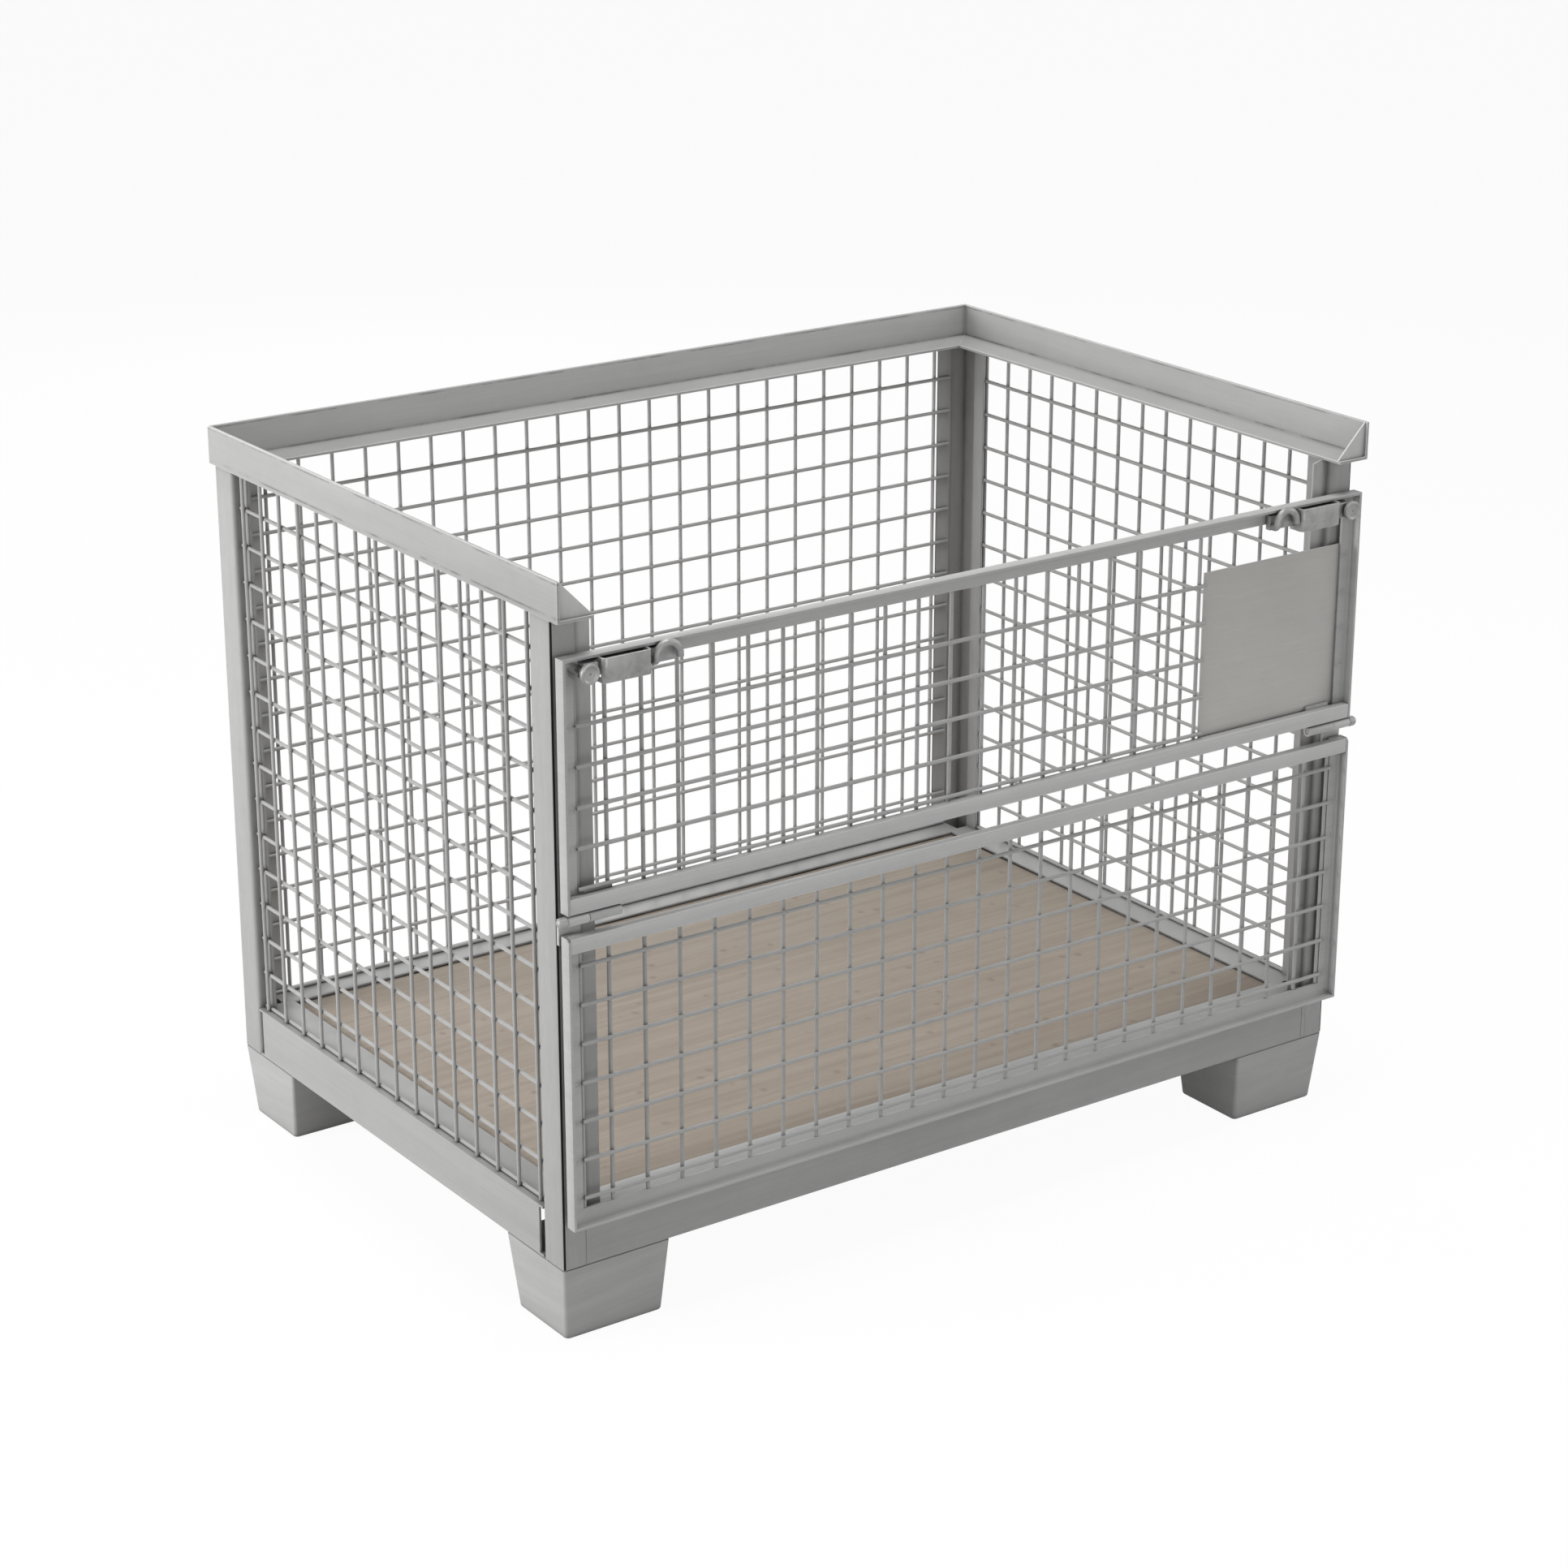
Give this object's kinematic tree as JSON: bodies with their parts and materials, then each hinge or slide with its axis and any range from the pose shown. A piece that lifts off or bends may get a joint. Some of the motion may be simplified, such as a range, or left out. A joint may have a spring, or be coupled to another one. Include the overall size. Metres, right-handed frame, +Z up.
{
  "type": "gas cylinder cage",
  "caption": "Wire-mesh steel cage on pressed feet with fork entries, an open top, a boarded floor and fold-down front gates held by sliding hook latches.",
  "frame": {"origin": "on the ground, at the middle of the footprint", "axes": "+X along the long front towards the side with the blank plate, -Y out of the front with the gates, +Z up"},
  "size_m": [1.255, 0.867, 0.97],
  "materials": {
    "frame_paint": "light grey paint with a satin sheen, faintly streaked and worn along the edges",
    "mesh_wire": "light grey coated wire with a satin sheen",
    "floor_board": "plain brown board, matt and slightly worn",
    "fittings": "zinc-coated steel, satin, with rubbed edges"
  },
  "bodies": {
    "root": {"front_left_post": "frame_paint", "front_right_post": "frame_paint", "rear_left_post": "frame_paint", "rear_right_post": "frame_paint", "front_left_foot": "frame_paint", "front_right_foot": "frame_paint", "rear_left_foot": "frame_paint", "rear_right_foot": "frame_paint", "base_rail_front": "frame_paint", "base_rail_back": "frame_paint", "base_rail_left": "frame_paint", "base_rail_right": "frame_paint", "floor_bearer_left": "frame_paint", "floor_bearer_middle": "frame_paint", "floor_bearer_right": "frame_paint", "floor_board": "floor_board", "top_rail_left": "frame_paint", "top_rail_right": "frame_paint", "top_rail_back": "frame_paint", "rail_gusset_left": "frame_paint", "rail_gusset_right": "frame_paint", "side_mesh_left": "mesh_wire", "side_mesh_right": "mesh_wire", "back_mesh": "mesh_wire", "latch_stud_left": "fittings", "latch_stud_right": "fittings", "post_hinge_leaf_left": "frame_paint", "post_hinge_leaf_right": "frame_paint", "hinge_pin_left": "fittings", "hinge_pin_right": "fittings", "sill_barrel_left": "frame_paint", "sill_barrel_middle": "frame_paint", "sill_barrel_right": "frame_paint", "sill_pin_left": "fittings", "sill_pin_middle": "fittings", "sill_pin_right": "fittings"},
    "upper_gate": {"upper_gate_top_angle": "frame_paint", "upper_gate_left_angle": "frame_paint", "upper_gate_right_angle": "frame_paint", "upper_gate_tube": "frame_paint", "upper_gate_mesh": "mesh_wire", "name_plate": "frame_paint", "gate_hinge_leaf_left": "frame_paint", "gate_hinge_leaf_right": "frame_paint", "latch_guide_left": "fittings", "latch_guide_right": "fittings"},
    "lower_gate": {"lower_gate_tube": "frame_paint", "lower_gate_left_angle": "frame_paint", "lower_gate_right_angle": "frame_paint", "lower_gate_bottom_angle": "frame_paint", "lower_gate_mesh": "mesh_wire"},
    "latch_left": {"latch_bolt_left": "fittings", "latch_hook_left": "fittings"},
    "latch_right": {"latch_bolt_right": "fittings", "latch_hook_right": "fittings"}
  },
  "joints": [
    {"name": "upper_gate_hinge", "type": "hinge", "parent": "root", "child": "upper_gate", "pos_m": [0, -0.4305, 0.559], "axis": [1, 0, 0], "range_deg": [0, 155]},
    {"name": "lower_gate_hinge", "type": "hinge", "parent": "root", "child": "lower_gate", "pos_m": [0, -0.4177, 0.1605], "axis": [1, 0, 0], "range_deg": [0, 100]},
    {"name": "latch_left_slide", "type": "slide", "parent": "upper_gate", "child": "latch_left", "axis": [1, 0, 0], "range_m": [0, 0.02]},
    {"name": "latch_right_slide", "type": "slide", "parent": "upper_gate", "child": "latch_right", "axis": [-1, 0, 0], "range_m": [0, 0.02]}
  ]
}
